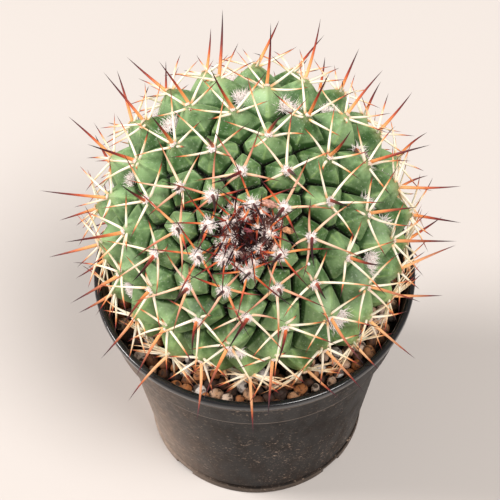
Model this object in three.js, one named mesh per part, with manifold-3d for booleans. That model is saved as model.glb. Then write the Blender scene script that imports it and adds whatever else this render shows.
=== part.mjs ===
// A round cactus in a black nursery pot. Millimetres, +Z up, the front towards -Y.
// The origin is the middle of the pot's underside, on the surface that it stands on.
import * as THREE from 'three';
import { ConvexHull } from 'three/addons/math/ConvexHull.js';
import { mergeVertices } from 'three/addons/utils/BufferGeometryUtils.js';
import Module from 'manifold-3d';

const wasm = await Module();
wasm.setup();

// Pot: a thin moulded cup, 11 cm across the rim
const POT_HEIGHT = 89;
const RIM_RADIUS = 55;
const LIP_WIDTH = 2.2;
const LIP_HEIGHT = 2.4;
const WALL = 1.4;
const COLLAR_FOOT = 71.3;
const COLLAR_TOP_RADIUS = 54;
const COLLAR_FOOT_RADIUS = 51.4;
const LEDGE = COLLAR_FOOT + WALL;
const WALL_TOP_RADIUS = 48.7;
const WALL_FOOT_RADIUS = 40.4;
const FOOT_HEIGHT = 3.2;
const FOOT_WIDTH = 3;
const FOOT_NOTCH_ANGLES = [47, 133, 227, 313];
const FOOT_NOTCH_WIDTH = 8;
const FLOOR_RAISE = 2.6;
const FLOOR_PAD_RADIUS = 15;
const DRAIN_COUNT = 6;
const DRAIN_RADIUS = 3.2;
const DRAIN_CIRCLE = 26;
const POT_SIDES = 40;

// Substrate: coarse granules up to 8 mm below the rim
const GAP = 0.4;
const SOIL_LEVEL = 79;
const GRANULE_COUNT = 138;
const GRANULE_RADIUS = 2.8;
const GRANULE_RISE = 0.6;

// Body: a globe whose crown leans towards the light, at the front
const BODY_MIDDLE = new THREE.Vector3(0, 0, 114.2);
const TIP_RADIUS = 52;
const CORE_RADIUS = 43.2;
const CROWN_TILT = 43.6;
const CROWN_TURN = 8.6;
const CROWN_DIP = 3.5;
const CROWN_DIP_SPREAD = 14;
const ROOT_LEVEL = 81;
const ROOT_END = 45;
const ROOT_POINT = 2;
const ROOT_NECK = 15;
const ROOT_SIDES = 12;

// Tubercles: one each golden angle, their cells growing from the crown outwards
const GOLDEN_ANGLE = 137.4966;
const FIRST_ANGLE = 130.6;
const FIRST_STEP = 0.32;
const CELL_SHARE = 0.025;
const RIPENING = 48.4;
const RELIEF = 0.56;
const SHOULDER_SPREAD = 0.82;
const SHOULDER_DROP = 0.36;
const FADE_HEIGHT = 8;

// Spines: five round the areole and one in its middle
const SPINE_ROOT = 1.2;
const AREOLE_RADIUS = 0.9;
const RADIAL_THICKNESS = 0.95;
const CENTRAL_THICKNESS = 1.25;
const SPINE_CLEARANCE = 1.2;
const CROWN_STEPS = 10;
const CROWN_RISE = 62;
const CROWN_LENGTH = 0.5;
const RISE_SPREAD = 8;
const LENGTH_SPREAD = 0.12;
const SPINES = [
  { turn: 34, spread: 14, length: 17, rise: 20 },
  { turn: -34, spread: 14, length: 16.5, rise: 20 },
  { turn: 94, spread: 18, length: 13, rise: 20 },
  { turn: -94, spread: 18, length: 12.5, rise: 20 },
  { turn: 165, spread: 60, length: 9, rise: 26 },
  { turn: 0, spread: 40, length: 19.5, rise: 118 },
];

// The central spine stands over the crown on young areoles, and reaches outwards on old ones.
const CENTRAL = 5;
const CENTRAL_SINKS_FROM = 15;
const CENTRAL_SUNK_AT = 70;
const CENTRAL_SUNK_RISE = 50;
const CENTRAL_SIDE_LEAN = 0.3;
const CENTRAL_FRONT_LEAN = 0.25;

const FRONT = new THREE.Vector3(0, -1, 0);

const radians = THREE.MathUtils.degToRad;
const clamp = THREE.MathUtils.clamp;

// A repeatable draw between -1 and 1 for one item and one of its traits.
function draw(item, trait) {
  const wave = Math.sin(item * 12.9898 + trait * 78.233) * 43758.5453;
  return 2 * (wave - Math.floor(wave)) - 1;
}

// A closed geometry as a solid: shared corners merged, triangles of no width dropped.
function solidFrom(geometry) {
  const bare = new THREE.BufferGeometry();
  bare.setAttribute('position', geometry.getAttribute('position'));
  if (geometry.index) bare.setIndex(geometry.index);
  const merged = mergeVertices(bare, 1e-4);
  const corners = merged.index.array;
  const kept = [];
  for (let i = 0; i < corners.length; i += 3) {
    const [a, b, c] = [corners[i], corners[i + 1], corners[i + 2]];
    if (a !== b && b !== c && c !== a) kept.push(a, b, c);
  }
  return new wasm.Manifold(new wasm.Mesh({
    numProp: 3,
    vertProperties: new Float32Array(merged.attributes.position.array),
    triVerts: new Uint32Array(kept),
  }));
}

function geometryFrom(solid) {
  const mesh = solid.getMesh();
  const geometry = new THREE.BufferGeometry();
  geometry.setAttribute('position', new THREE.BufferAttribute(mesh.vertProperties, 3));
  geometry.setIndex(new THREE.BufferAttribute(mesh.triVerts, 1));
  geometry.computeVertexNormals();
  return geometry;
}

// A solid turned round the Z axis from [radius, height] pairs.
function turned(profile, sides) {
  const points = profile.map(([radius, height]) => new THREE.Vector2(radius, height));
  return solidFrom(new THREE.LatheGeometry(points, sides).rotateX(Math.PI / 2));
}

// The straight taper of the pot's outer wall, up to the collar.
function wallRadius(height) {
  const share = (height - FOOT_HEIGHT) / (COLLAR_FOOT - FOOT_HEIGHT);
  return THREE.MathUtils.lerp(WALL_FOOT_RADIUS, WALL_TOP_RADIUS, share);
}

// The inside of the collar, from its ledge up to the lip.
function mouthRadius(height) {
  const share = (height - LEDGE) / (POT_HEIGHT - 1 - LEDGE);
  return THREE.MathUtils.lerp(COLLAR_FOOT_RADIUS - WALL, RIM_RADIUS - LIP_WIDTH, share);
}

function makePot() {
  const lipFoot = POT_HEIGHT - LIP_HEIGHT;
  const footRadius = WALL_FOOT_RADIUS + 0.4;
  const footInside = footRadius - FOOT_WIDTH;
  const floorTop = FLOOR_RAISE + WALL;
  const soft = 0.7;
  const shell = turned([
    [0, 0],
    [FLOOR_PAD_RADIUS, 0],
    [FLOOR_PAD_RADIUS + 1.5, FLOOR_RAISE],
    [footInside - 1, FLOOR_RAISE],
    [footInside, 0],
    [footRadius - soft, 0],
    [footRadius, soft],
    [footRadius, FOOT_HEIGHT],
    [wallRadius(FOOT_HEIGHT) - 0.9, FOOT_HEIGHT + 0.5],
    [wallRadius(FOOT_HEIGHT), FOOT_HEIGHT + 1.4],
    [WALL_TOP_RADIUS, COLLAR_FOOT],
    [COLLAR_FOOT_RADIUS, COLLAR_FOOT],
    [COLLAR_TOP_RADIUS, lipFoot - 0.5],
    [RIM_RADIUS, lipFoot],
    [RIM_RADIUS, POT_HEIGHT - soft],
    [RIM_RADIUS - soft, POT_HEIGHT],
    [RIM_RADIUS - LIP_WIDTH + soft, POT_HEIGHT],
    [mouthRadius(POT_HEIGHT - 1), POT_HEIGHT - 1],
    [mouthRadius(LEDGE), LEDGE],
    [WALL_TOP_RADIUS - WALL, LEDGE],
    [wallRadius(floorTop + 2) - WALL, floorTop + 2],
    [wallRadius(floorTop) - WALL - 2, floorTop],
    [FLOOR_PAD_RADIUS + 1, floorTop],
    [FLOOR_PAD_RADIUS - 1, WALL],
    [0, WALL],
  ], POT_SIDES);
  const drains = Array.from({ length: DRAIN_COUNT }, (_, i) => {
    const turn = (i + 0.5) / DRAIN_COUNT * 2 * Math.PI;
    const bore = new THREE.CylinderGeometry(DRAIN_RADIUS, DRAIN_RADIUS, 3 * floorTop, 10);
    bore.rotateX(Math.PI / 2);
    bore.translate(DRAIN_CIRCLE * Math.cos(turn), DRAIN_CIRCLE * Math.sin(turn), floorTop);
    return solidFrom(bore);
  });
  const notches = FOOT_NOTCH_ANGLES.map((angle) => {
    const notch = new THREE.BoxGeometry(3 * FOOT_WIDTH, FOOT_NOTCH_WIDTH, 2 * FLOOR_RAISE - 1);
    notch.translate(footRadius, 0, 0);
    notch.rotateZ(radians(angle));
    return solidFrom(notch);
  });
  return [...drains, ...notches].reduce((pot, cut) => pot.subtract(cut), shell);
}

// The body's axis frame: the crown's direction and two directions across it.
const crown = new THREE.Vector3(0, 0, 1);
crown.applyAxisAngle(new THREE.Vector3(1, 0, 0), radians(CROWN_TILT));
crown.applyAxisAngle(new THREE.Vector3(0, 0, 1), radians(-CROWN_TURN));
const across = new THREE.Vector3(1, 0, 0);
across.addScaledVector(crown, -across.dot(crown)).normalize();
const along = new THREE.Vector3().crossVectors(crown, across);

// The part of the globe inside the step'th cell, as one minus a cosine.
function coverage(step) {
  return CELL_SHARE * (step - RIPENING * (1 - Math.exp(-step / RIPENING)));
}

// The mean width of a cell at that step.
function cellWidth(step) {
  const area = 2 * Math.PI * TIP_RADIUS ** 2 * CELL_SHARE * (1 - Math.exp(-step / RIPENING));
  return Math.sqrt(area);
}

// One tubercle: its direction from the body's middle, the way out from the crown, and its side.
function tubercle(index) {
  const step = index + FIRST_STEP;
  const polar = Math.acos(clamp(1 - coverage(step), -1, 1));
  const turn = radians(FIRST_ANGLE + index * GOLDEN_ANGLE);
  const flat = across.clone().multiplyScalar(Math.cos(turn)).addScaledVector(along, Math.sin(turn));
  const out = flat.clone().multiplyScalar(Math.cos(polar)).addScaledVector(crown, -Math.sin(polar));
  const normal = flat.multiplyScalar(Math.sin(polar)).addScaledVector(crown, Math.cos(polar));
  return { index, step, normal, out, side: new THREE.Vector3().crossVectors(normal, out) };
}

// The tips' distance from the body's middle, less in the sunken crown.
function tipRadius(direction) {
  const polar = THREE.MathUtils.radToDeg(direction.angleTo(crown));
  return TIP_RADIUS - CROWN_DIP * Math.exp(-((polar / CROWN_DIP_SPREAD) ** 2));
}

// How far a tubercle is grown: not at all where the body enters the soil, and in full above.
function growth(direction) {
  const height = BODY_MIDDLE.z + direction.z * TIP_RADIUS;
  return clamp((height - ROOT_LEVEL) / FADE_HEIGHT, 0, 1);
}

// A point of the skin: drop is the share of the relief below the tips. The buried part of the
// globe is smooth.
function skinPoint(direction, step, drop) {
  const grown = tipRadius(direction) - drop * RELIEF * cellWidth(step);
  const radius = THREE.MathUtils.lerp(CORE_RADIUS, grown, growth(direction));
  return BODY_MIDDLE.clone().addScaledVector(direction, radius);
}

function allTubercles() {
  const found = [];
  for (let index = 0; coverage(index + FIRST_STEP) < 2; index++) found.push(tubercle(index));
  return found;
}

// The body as one skin. Each tubercle fills its own cell of the globe, up to the grooves
// between it and its neighbours, and rises over a shoulder to its tip.
function makeBody(tubercles) {
  const hull = new ConvexHull().setFromPoints(tubercles.map(({ normal }) => normal));
  const owner = new Map(tubercles.map((item) => [item.normal, item]));
  const rings = new Map(tubercles.map((item) => [item, []]));
  for (const face of hull.faces) {
    const owners = [0, 1, 2].map((i) => owner.get(face.getEdge(i).head().point));
    const step = (owners[0].step + owners[1].step + owners[2].step) / 3;
    const corner = { direction: face.normal.clone(), point: skinPoint(face.normal, step, 1) };
    owners.forEach((item) => rings.get(item).push(corner));
  }
  const triangles = [];
  for (const [item, ring] of rings) {
    const bearing = ({ direction }) => Math.atan2(direction.dot(item.side), direction.dot(item.out));
    ring.sort((a, b) => bearing(a) - bearing(b));
    const tip = skinPoint(item.normal, item.step, 0);
    const shoulders = ring.map(({ direction }) => {
      const way = item.normal.clone().lerp(direction, SHOULDER_SPREAD).normalize();
      return skinPoint(way, item.step, SHOULDER_DROP);
    });
    ring.forEach(({ point }, i) => {
      const next = (i + 1) % ring.length;
      triangles.push(point, ring[next].point, shoulders[next]);
      triangles.push(point, shoulders[next], shoulders[i]);
      triangles.push(shoulders[i], shoulders[next], tip);
    });
  }
  return solidFrom(new THREE.BufferGeometry().setFromPoints(triangles));
}

// The tip of a spine, bent clear of the soil and of the pot's rim.
function clearTip(root, tip) {
  const soilClear = SOIL_LEVEL + GRANULE_RISE + GRANULE_RADIUS + SPINE_CLEARANCE;
  const rimClear = POT_HEIGHT + SPINE_CLEARANCE;
  const inside = RIM_RADIUS - LIP_WIDTH - 2.5;
  const outside = RIM_RADIUS + SPINE_CLEARANCE;
  const bent = tip.clone();
  bent.z = Math.max(bent.z, soilClear);
  const reach = Math.hypot(bent.x, bent.y);
  const start = Math.hypot(root.x, root.y);
  if (reach <= inside) return bent;
  if (root.z < rimClear + 1) {
    return root.clone().lerp(bent, clamp((inside - start) / (reach - start), 0, 1));
  }
  const crossing = reach > outside ? (outside - start) / (reach - start) : 1;
  const height = root.z + (bent.z - root.z) * crossing;
  if (height < rimClear) bent.z = root.z + (rimClear - root.z) / crossing;
  return bent;
}

// A spine: a slim three-sided needle, its root sunk in the tubercle's tip.
function makeSpine(item, spine, trait) {
  const { lerp } = THREE.MathUtils;
  const age = clamp(item.step / CROWN_STEPS, 0, 1);
  const central = trait === CENTRAL ? 1 : 0;
  const sunk = clamp((item.step - CENTRAL_SINKS_FROM) / (CENTRAL_SUNK_AT - CENTRAL_SINKS_FROM), 0, 1);
  const turn = radians(spine.turn + spine.spread * draw(item.index, trait));
  const settled = lerp(CROWN_RISE, lerp(spine.rise, CENTRAL_SUNK_RISE, central * sunk), age);
  const rise = radians(settled + RISE_SPREAD * draw(item.index, trait + 10));
  const grown = lerp(CROWN_LENGTH, 1, age);
  const length = spine.length * grown * (1 + LENGTH_SPREAD * draw(item.index, trait + 20));
  const flat = item.out.clone().multiplyScalar(Math.cos(turn)).addScaledVector(item.side, Math.sin(turn));
  const way = flat.clone().multiplyScalar(Math.cos(rise)).addScaledVector(item.normal, Math.sin(rise));
  way.addScaledVector(item.side, central * CENTRAL_SIDE_LEAN * draw(item.index, trait + 30));
  way.addScaledVector(FRONT, central * CENTRAL_FRONT_LEAN * (1 - sunk)).normalize();
  const root = skinPoint(item.normal, item.step, 0);
  root.addScaledVector(item.normal, -SPINE_ROOT).addScaledVector(flat, AREOLE_RADIUS);
  const tip = clearTip(root, root.clone().addScaledVector(way, length));
  const aim = tip.clone().sub(root).normalize();
  const thickness = central ? CENTRAL_THICKNESS : RADIAL_THICKNESS;
  const sideways = new THREE.Vector3().crossVectors(aim, item.normal).normalize();
  const upward = new THREE.Vector3().crossVectors(sideways, aim);
  const corners = [0, 1, 2].map((i) => root.clone()
    .addScaledVector(sideways, thickness / 2 * Math.cos(i * 2 * Math.PI / 3))
    .addScaledVector(upward, thickness / 2 * Math.sin(i * 2 * Math.PI / 3)));
  const [a, b, c] = corners;
  return solidFrom(new THREE.BufferGeometry().setFromPoints([a, b, c, b, a, tip, c, b, tip, a, c, tip]));
}

function makeCactus() {
  const tubercles = allTubercles();
  const spined = tubercles.filter(({ normal }) => growth(normal) > 0.5);
  const spines = spined.flatMap((item) => SPINES.map((spine, trait) => makeSpine(item, spine, trait)));
  const body = makeBody(tubercles).add(makeTapRoot(0));
  return spines.reduce((cactus, spine) => cactus.add(spine), body);
}

// The tap root under the globe, made larger by a gap where it cuts its own hole.
function makeTapRoot(gap) {
  const low = ROOT_END - gap;
  const high = BODY_MIDDLE.z - CORE_RADIUS / 2;
  return turned([[0, low], [ROOT_POINT + gap, low], [ROOT_NECK + gap, high], [0, high]], ROOT_SIDES);
}

// The hole that the globe stands in, all round its buried part.
function makeGlobeHole() {
  const stations = 14;
  const wide = 1 / Math.cos(Math.PI / POT_SIDES);
  const profile = Array.from({ length: stations + 1 }, (_, i) => {
    const angle = -Math.PI / 2 + i / stations * Math.PI / 2;
    const radius = i === 0 ? 0 : (CORE_RADIUS + GAP) * Math.cos(angle) * wide;
    return [radius, BODY_MIDDLE.z + (CORE_RADIUS + GAP) * Math.sin(angle)];
  });
  return turned([...profile, [0, BODY_MIDDLE.z]], POT_SIDES);
}

// The fill of the pot, with the surface's granules sunk half their depth in it.
function makeSubstrate() {
  const floorTop = FLOOR_RAISE + WALL;
  const inner = (height) => wallRadius(height) - WALL - GAP;
  const fill = turned([
    [0, WALL + GAP],
    [FLOOR_PAD_RADIUS - 1 - GAP, WALL + GAP],
    [FLOOR_PAD_RADIUS + 1 - GAP, floorTop + GAP],
    [inner(floorTop) - 2 - GAP, floorTop + GAP],
    [inner(floorTop + 2 + GAP), floorTop + 2 + GAP],
    [WALL_TOP_RADIUS - WALL - GAP, LEDGE + GAP],
    [mouthRadius(LEDGE) - GAP, LEDGE + GAP],
    [mouthRadius(SOIL_LEVEL) - GAP, SOIL_LEVEL],
    [0, SOIL_LEVEL],
  ], POT_SIDES);
  const waist = Math.sqrt(CORE_RADIUS ** 2 - (BODY_MIDDLE.z - ROOT_LEVEL) ** 2);
  const innerEdge = waist + 1.5 * GRANULE_RADIUS;
  const outerEdge = mouthRadius(SOIL_LEVEL) - GRANULE_RADIUS - 2 * GAP;
  const granules = Array.from({ length: GRANULE_COUNT }, (_, i) => {
    const share = (i + 0.5) / GRANULE_COUNT;
    const radius = Math.sqrt(THREE.MathUtils.lerp(innerEdge ** 2, outerEdge ** 2, share));
    const turn = radians(i * GOLDEN_ANGLE);
    const size = GRANULE_RADIUS * (1 + 0.14 * (draw(i, 40) - 1));
    const granule = new THREE.IcosahedronGeometry(size, 0);
    granule.rotateX(draw(i, 41) * Math.PI).rotateZ(draw(i, 42) * Math.PI);
    const rise = GRANULE_RISE * draw(i, 43);
    granule.translate(radius * Math.cos(turn), radius * Math.sin(turn), SOIL_LEVEL + rise);
    return solidFrom(granule);
  });
  const whole = granules.reduce((soil, granule) => soil.add(granule), fill);
  return whole.subtract(makeGlobeHole()).subtract(makeTapRoot(GAP));
}

function piece(name, solid, colour, roughness) {
  const material = new THREE.MeshStandardMaterial({ color: colour, roughness, metalness: 0 });
  const mesh = new THREE.Mesh(geometryFrom(solid), material);
  mesh.name = name;
  return mesh;
}

const plant = new THREE.Group();
plant.add(piece('pot', makePot(), 0x3a3836, 0.45));
plant.add(piece('substrate', makeSubstrate(), 0x8a6a4c, 0.9));
plant.add(piece('cactus', makeCactus(), 0x5f8f55, 0.6));

export default plant;
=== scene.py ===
from math import cos, pi, radians, sin, sqrt

import bmesh
import bpy
import numpy as np
from mathutils import Matrix, Quaternion, Vector


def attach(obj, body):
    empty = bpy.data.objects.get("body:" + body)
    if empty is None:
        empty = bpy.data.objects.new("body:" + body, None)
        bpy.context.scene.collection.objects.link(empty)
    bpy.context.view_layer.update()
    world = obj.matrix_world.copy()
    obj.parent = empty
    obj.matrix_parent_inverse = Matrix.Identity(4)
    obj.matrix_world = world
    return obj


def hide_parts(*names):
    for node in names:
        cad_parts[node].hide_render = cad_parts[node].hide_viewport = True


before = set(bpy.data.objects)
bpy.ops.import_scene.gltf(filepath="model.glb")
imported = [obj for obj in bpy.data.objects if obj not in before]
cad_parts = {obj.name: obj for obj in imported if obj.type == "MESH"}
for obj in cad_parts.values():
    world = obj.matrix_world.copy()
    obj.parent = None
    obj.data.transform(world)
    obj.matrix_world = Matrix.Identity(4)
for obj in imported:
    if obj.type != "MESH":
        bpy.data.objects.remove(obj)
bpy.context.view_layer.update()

# The camera of the photograph: a long lens that looks down on the pot's mouth from the front. It
# aims a little past the rim's middle and is rolled by about one degree, so that the plant sits in
# the frame as in the photo.
LENS = 100.0
SENSOR_WIDTH = 36.0
NEAREST = 0.01
VIEW_DOWN = radians(54.28)
VIEW_DISTANCE = 0.4755
RIM_LEVEL = 0.089
AIM_LEFT = 0.0014
AIM_UP = 0.0059
ROLL = radians(-1.2)

rim_middle = Vector((0, 0, RIM_LEVEL))
towards = Vector((0, -cos(VIEW_DOWN), sin(VIEW_DOWN)))
aim = rim_middle + Vector((-AIM_LEFT, AIM_UP * sin(VIEW_DOWN), AIM_UP * cos(VIEW_DOWN)))
camera = bpy.data.objects.new("camera", bpy.data.cameras.new("camera"))
bpy.context.collection.objects.link(camera)
camera.location = rim_middle + VIEW_DISTANCE * towards
look = (aim - camera.location).to_track_quat("-Z", "Y")
camera.rotation_euler = (look @ Quaternion((0, 0, 1), ROLL)).to_euler()
camera.data.lens = LENS
camera.data.sensor_width = SENSOR_WIDTH
camera.data.clip_start = NEAREST
bpy.context.scene.camera = camera


# The stage: a pale warm floor in a bright room, with a large soft light high on the left and a
# weaker one over the front right.
ROOM_COLOUR = (1.0, 0.93, 0.88)
ROOM_STRENGTH = 0.37
LIGHTS = (
    dict(name="window", place=(-3.10, 0.30, 2.80), power=164.0, colour=(1.0, 0.965, 0.94)),
    dict(name="ceiling", place=(1.30, -1.30, 3.20), power=108.0, colour=(1.0, 0.975, 0.95)),
)
LIGHT_SIZE = 1.6
LIGHT_TARGET = Vector((0, 0, 0.1))
FLOOR_HALF = 3.0
FLOOR_DARK = (0.574, 0.534, 0.506)
FLOOR_LIGHT = (0.604, 0.565, 0.538)


class Shade:
    """One output of a material's nodes. Arithmetic on it adds Math nodes, and make() adds any
    other node: its settings are set first, then the values or links of its inputs."""

    def __init__(self, tree, output=None):
        self.tree, self.output = tree, output

    def make(self, kind, settings, inputs, out=0):
        node = self.tree.nodes.new(kind)
        for name, value in settings.items():
            setattr(node, name, value)
        for name, value in inputs.items():
            if isinstance(value, Shade):
                self.tree.links.new(value.output, node.inputs[name])
            else:
                node.inputs[name].default_value = value
        return Shade(self.tree, node.outputs[out])

    def math(self, operation, first, second):
        return self.make("ShaderNodeMath", {"operation": operation}, {0: first, 1: second})

    def __add__(self, other):
        return self.math("ADD", self, other)

    def __sub__(self, other):
        return self.math("SUBTRACT", self, other)

    def __rsub__(self, other):
        return self.math("SUBTRACT", other, self)

    def __mul__(self, other):
        return self.math("MULTIPLY", self, other)

    def __pow__(self, other):
        return self.math("POWER", self, other)

    __radd__ = __add__
    __rmul__ = __mul__

    def at_least(self, low):
        return self.math("MAXIMUM", self, low)

    def between(self, low, high):
        """0 below low, 1 above high, and smooth in between."""
        return self.make("ShaderNodeMapRange", {"interpolation_type": "SMOOTHSTEP"},
                         {0: self, 1: low, 2: high})

    def band(self, low, rise, fall, high):
        """1 from rise to fall, 0 below low and above high, and smooth in between."""
        return self.between(low, rise) * (1 - self.between(fall, high))

    def mix(self, first, second):
        """The first colour where this is 0 and the second where it is 1."""
        rgba = [c if isinstance(c, Shade) else (*c, 1.0) for c in (first, second)]
        return self.make("ShaderNodeMix", {"data_type": "RGBA"}, {0: self, 6: rgba[0], 7: rgba[1]}, 2)

    def ramp(self, stops):
        made = self.make("ShaderNodeValToRGB", {}, {0: self})
        marks = made.output.node.color_ramp.elements
        while len(marks) < len(stops):
            marks.new(1.0)
        for mark, (position, colour) in zip(marks, stops):
            mark.position, mark.color = position, (*colour, 1.0)
        return made

    def place(self, stretch=(1, 1, 1)):
        """The place on the object in metres, stretched along its axes."""
        here = self.make("ShaderNodeTexCoord", {}, {}, "Object")
        return self.make("ShaderNodeMapping", {}, {"Vector": here, "Scale": stretch})

    def along(self, axis):
        """The place on the object along its X, Y or Z axis."""
        return self.make("ShaderNodeSeparateXYZ", {}, {0: self.place()}, axis)

    def noise(self, scale, detail, stretch=(1, 1, 1)):
        return self.make("ShaderNodeTexNoise", {}, {"Vector": self.place(stretch), "Scale": scale,
                                                    "Detail": detail})

    def value(self, name):
        """A number that the mesh holds for each of its points."""
        return self.make("ShaderNodeAttribute", {"attribute_name": name}, {}, 2)

    def bump(self, strength, depth):
        return self.make("ShaderNodeBump", {}, {"Height": self, "Strength": strength,
                                                "Distance": depth})


def material(name, finish, **fixed):
    """A Principled material. finish(shade) gives the inputs that change over the surface, and
    fixed the ones that don't."""
    made = bpy.data.materials.new(name)
    made.use_nodes = True
    shader = made.node_tree.nodes["Principled BSDF"]
    for key, value in fixed.items():
        shader.inputs[key.replace("_", " ")].default_value = value
    for key, value in finish(Shade(made.node_tree)).items():
        made.node_tree.links.new(value.output, shader.inputs[key.replace("_", " ")])
    return made


def mesh_object(name, points, faces, made_of, **values):
    """An object in place from rows of points and a list of faces. values are numbers under their
    names: one for each point, or one for each of the like parts that the points make up."""
    mesh = bpy.data.meshes.new(name)
    mesh.from_pydata(np.asarray(points).reshape(-1, 3), [], faces)
    for key, numbers in values.items():
        numbers = np.asarray(numbers, dtype=np.float32).ravel()
        held = mesh.attributes.new(key, "FLOAT", "POINT")
        held.data.foreach_set("value", np.repeat(numbers, len(mesh.vertices) // numbers.size))
    mesh.shade_smooth()
    mesh.materials.append(made_of)
    mesh.update()
    made = bpy.data.objects.new(name, mesh)
    bpy.context.collection.objects.link(made)
    return made


def floor_finish(shade):
    cloud = shade.noise(3.0, 2.0)
    return {"Base_Color": cloud.ramp([(0.3, FLOOR_DARK), (0.7, FLOOR_LIGHT)])}


corners = [(x * FLOOR_HALF, y * FLOOR_HALF, 0) for x, y in ((-1, -1), (1, -1), (1, 1), (-1, 1))]
floor = mesh_object("floor", corners, [(0, 1, 2, 3)],
                    material("pale_table", floor_finish, Roughness=0.7))

for lit in LIGHTS:
    light = bpy.data.lights.new(lit["name"], "AREA")
    light.shape, light.size = "DISK", LIGHT_SIZE
    light.energy, light.color = lit["power"], lit["colour"]
    lamp = bpy.data.objects.new(lit["name"], light)
    bpy.context.collection.objects.link(lamp)
    lamp.location = lit["place"]
    lamp.rotation_euler = (LIGHT_TARGET - lamp.location).to_track_quat("-Z", "Y").to_euler()

room = bpy.data.worlds.new("room")
room.use_nodes = True
sky = room.node_tree.nodes["Background"].inputs
sky["Color"].default_value = (*ROOM_COLOUR, 1.0)
sky["Strength"].default_value = ROOM_STRENGTH
bpy.context.scene.world = room
bpy.context.scene.view_settings.view_transform = "Standard"


# The pot: a thin cup moulded in black plastic, 11 cm across, with a rolled lip, a wider collar
# under it that ends in a ledge, a foot ring cut by four notches, and drain holes in the raised
# floor. Handling has dulled it with dust and fine scratches.
POT_HEIGHT = RIM_LEVEL
RIM_RADIUS = 0.055
LIP_WIDTH = 0.0022
LIP_HEIGHT = 0.0024
LIP_ROUNDING = 0.0010
WALL = 0.0014
COLLAR_FOOT = 0.0713
COLLAR_TOP_RADIUS = 0.0540
COLLAR_FOOT_RADIUS = 0.0514
LEDGE = COLLAR_FOOT + WALL
WALL_TOP_RADIUS = 0.0487
WALL_FOOT_RADIUS = 0.0404
FOOT_HEIGHT = 0.0032
FOOT_WIDTH = 0.003
FOOT_STEP = 0.0004
FOOT_NOTCH_ANGLES = (47, 133, 227, 313)
FOOT_NOTCH_WIDTH = 0.008
FOOT_NOTCH_GAP = 0.001
FLOOR_RAISE = 0.0026
FLOOR_PAD_RADIUS = 0.015
DRAIN_COUNT = 6
DRAIN_RADIUS = 0.0032
DRAIN_CIRCLE = 0.026
DRAIN_DEPTH = 0.012
POT_SIDES = 192
DUST_TOP = 0.070
# Where the left side's painted sheen fades out, and the heights of the lighter line under the lip and
# of the painted highlight on the collar's edge.
SHEEN_SIDE = -0.050
UNDER_LIP_LINE = (0.0834, 0.0837, 0.0840, 0.0844)
COLLAR_EDGE_HIGHLIGHT = (0.0711, 0.0714, 0.0720, 0.0725)

lip_foot = POT_HEIGHT - LIP_HEIGHT
foot_radius = WALL_FOOT_RADIUS + FOOT_STEP
foot_inside = foot_radius - FOOT_WIDTH
floor_top = FLOOR_RAISE + WALL


def wall_radius(height):
    """The straight taper of the outer wall, up to the collar."""
    share = (height - FOOT_HEIGHT) / (COLLAR_FOOT - FOOT_HEIGHT)
    return WALL_FOOT_RADIUS + (WALL_TOP_RADIUS - WALL_FOOT_RADIUS) * share


def mouth_radius(height):
    """The inside of the collar, from its ledge up to the lip."""
    share = (height - LEDGE) / (POT_HEIGHT - LIP_ROUNDING - LEDGE)
    foot = COLLAR_FOOT_RADIUS - WALL
    return foot + (RIM_RADIUS - LIP_WIDTH - foot) * share


def rounded(profile, steps=4):
    """A profile of (radius, height, rounding) points, each corner replaced by a quadratic arc
    that starts and ends its rounding away from the corner."""
    points = np.array([p[:2] for p in profile])
    bends = [p[2] for p in profile[1:]]
    made = [points[0]]
    for before, here, after, bend in zip(points, points[1:], points[2:], bends):
        start = here + (before - here) / np.linalg.norm(before - here) * bend
        end = here + (after - here) / np.linalg.norm(after - here) * bend
        share = np.linspace(0, 1, steps + 1)[:, None]
        made.extend((1 - share) ** 2 * start + 2 * share * (1 - share) * here + share ** 2 * end)
    return np.array([*made, points[-1]])


def grid_faces(rows, columns):
    """Quads between neighbouring rows of points, closed round the columns."""
    row = np.arange(rows - 1)[:, None] * columns
    corner = row + np.arange(columns)
    beside = row + (np.arange(columns) + 1) % columns
    return np.stack([corner, beside, beside + columns, corner + columns], -1).reshape(-1, 4).tolist()


def turned(profile, sides):
    """Points and faces of a profile carried round the Z axis. A profile that starts and ends
    on the axis makes a closed surface once its doubles are merged."""
    turns = np.arange(sides) * 2 * pi / sides
    radius, height = profile[:, :1], profile[:, 1:]
    points = np.stack([radius * np.cos(turns), radius * np.sin(turns),
                       height * np.ones_like(turns)], axis=-1)
    return points, grid_faces(len(profile), sides)


def tidy(made):
    """Merges doubles and turns all faces outwards."""
    work = bmesh.new()
    work.from_mesh(made.data)
    bmesh.ops.remove_doubles(work, verts=work.verts, dist=1e-6)
    bmesh.ops.recalc_face_normals(work, faces=work.faces)
    work.to_mesh(made.data)
    work.free()
    return made


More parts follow.
